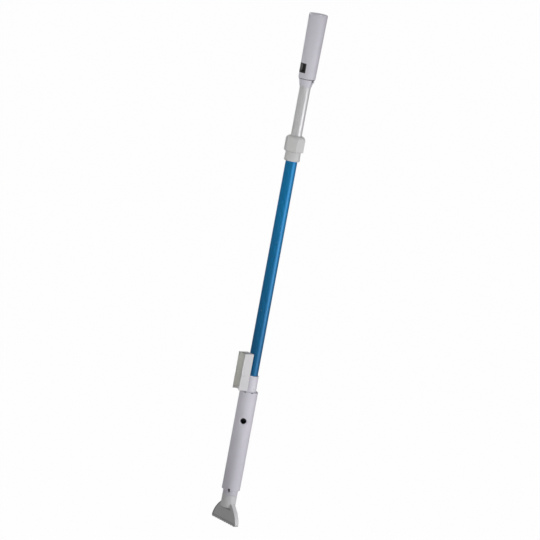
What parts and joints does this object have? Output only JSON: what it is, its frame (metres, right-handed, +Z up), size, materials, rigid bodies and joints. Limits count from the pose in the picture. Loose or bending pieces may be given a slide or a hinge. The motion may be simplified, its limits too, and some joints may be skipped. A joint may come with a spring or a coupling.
{
  "type": "telescopic battery cleaning wand",
  "caption": "Hand-held telescopic suction wand with a switch grip, twist-lock pole, pump housing with a side port, flat flared nozzle and a tufted brush parked on the pole.",
  "frame": {"origin": "centre of the nozzle's mouth, in the plane of its rim", "axes": "+Z up the pole towards the grip, X along the wide nozzle mouth, -Y the side the brush and the thumb switch are on"},
  "size_m": [0.1016, 0.0722, 1.3219],
  "materials": {
    "pale_shell": "smooth satin",
    "pale_nozzle": "smooth satin",
    "soft_lip": "matt",
    "pale_brush": "smooth satin",
    "bristle": "fine nylon",
    "blue_anodised": "blue anodised, satin",
    "satin_tube": "satin",
    "slip_plastic": "smooth",
    "seal_rubber": "matt",
    "pad_foam": "closed foam",
    "cell_wrap": "shrink wrap",
    "black_plastic": "fine grain",
    "board": "lacquered",
    "contact_brass": "plated",
    "switch_grey": "fine grain",
    "cable_jacket": "satin",
    "bare_steel": "plain",
    "motor_can": "plated"
  },
  "bodies": {
    "grip": {"grip_shell": "pale_shell", "grip_gasket": "seal_rubber", "grip_collar": "pale_shell", "switch_frame": "black_plastic", "switch_body": "black_plastic", "contact_board": "board", "contact_springs": "contact_brass", "cell_cradle_bottom": "black_plastic", "battery_cells": "cell_wrap", "cell_cradle_top": "black_plastic", "cable_lead": "cable_jacket", "coiled_cable": "cable_jacket", "inner_tube": "satin_tube", "guide_bush": "slip_plastic"},
    "battery_cap": {"end_cap": "pale_shell", "cap_o_ring": "seal_rubber", "pack_pad": "pad_foam"},
    "rocker": {"switch_rocker": "switch_grey"},
    "lower_pole": {"outer_tube": "blue_anodised", "lock_sleeve": "pale_shell", "lock_collet": "slip_plastic", "lower_collar": "pale_shell", "collar_screws": "bare_steel", "cable_tail": "cable_jacket", "cable_gland": "seal_rubber", "housing_cap": "pale_shell", "housing_shell": "pale_shell", "motor": "motor_can", "motor_screws": "bare_steel", "seal_plate": "black_plastic", "shaft_seal": "seal_rubber", "pump_casing": "black_plastic", "port_ring": "pale_shell"},
    "twist_nut": {"lock_nut": "pale_shell"},
    "rotor": {"motor_shaft": "bare_steel", "impeller": "slip_plastic"},
    "coupling": {"coupling_ring": "pale_shell", "coupling_seal": "seal_rubber", "filter_basket": "black_plastic"},
    "nozzle": {"nozzle_body": "pale_nozzle", "nozzle_o_ring": "seal_rubber", "mouth_lip": "soft_lip"},
    "brush": {"brush_body": "pale_brush", "brush_bristles": "bristle"}
  },
  "joints": [
    {"name": "telescope", "type": "slide", "parent": "grip", "child": "lower_pole", "axis": [0, 0, -1], "range_m": [-0.12, 0.4], "deforming": ["coiled_cable"]},
    {"name": "nut_turn", "type": "hinge", "parent": "lower_pole", "child": "twist_nut", "pos_m": [0, 0, 0.99], "axis": [0, 0, 1], "range_deg": [0, 180]},
    {"name": "switch_rock", "type": "hinge", "parent": "grip", "child": "rocker", "pos_m": [0, -0.0158, 1.1825], "axis": [1, 0, 0], "range_deg": [0, 14]},
    {"name": "cap_lift", "type": "slide", "parent": "grip", "child": "battery_cap", "axis": [0, 0, 1], "range_m": [0, 0.03]},
    {"name": "impeller_spin", "type": "hinge", "parent": "lower_pole", "child": "rotor", "pos_m": [0, 0, 0.27], "axis": [0, 0, 1], "continuous": true},
    {"name": "coupling_turn", "type": "hinge", "parent": "lower_pole", "child": "coupling", "pos_m": [0, 0, 0.099], "axis": [0, 0, 1], "range_deg": [0, 30]},
    {"name": "nozzle_pull", "type": "slide", "parent": "coupling", "child": "nozzle", "axis": [0, 0, -1], "range_m": [0, 0.035]},
    {"name": "brush_lift", "type": "slide", "parent": "lower_pole", "child": "brush", "axis": [0, 0, 1], "range_m": [0, 0.05]}
  ]
}
